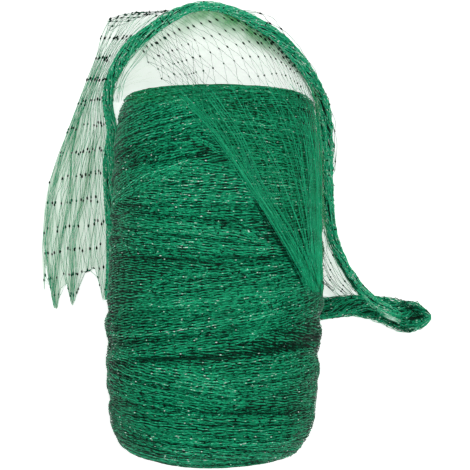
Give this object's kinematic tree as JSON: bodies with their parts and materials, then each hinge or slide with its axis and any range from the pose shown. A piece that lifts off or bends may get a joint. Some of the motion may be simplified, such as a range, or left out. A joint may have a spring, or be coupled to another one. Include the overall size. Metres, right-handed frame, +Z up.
{
  "type": "bird netting roll",
  "caption": "Roll of green diamond-mesh bird netting on its side, its loose end spread round it as a gathered arch, a flat loop and a sheer fall.",
  "frame": {"origin": "centre of the small flat spot that the roll rests on", "axes": "+Z up, +Y along the roll's axis towards the arch, +X towards the loop"},
  "size_m": [0.338, 0.3874, 0.1744],
  "materials": {
    "wound_net": "densely wound fine green strands with a soft sheen",
    "gathered_net": "bunched green strands, brighter than the roll",
    "sheer_net": "fine open green mesh with dark knots"
  },
  "bodies": {
    "root": {"wound_roll": "wound_net", "gathered_edge": "gathered_net", "loose_fall": "sheer_net", "draped_net": "sheer_net"}
  },
  "joints": []
}
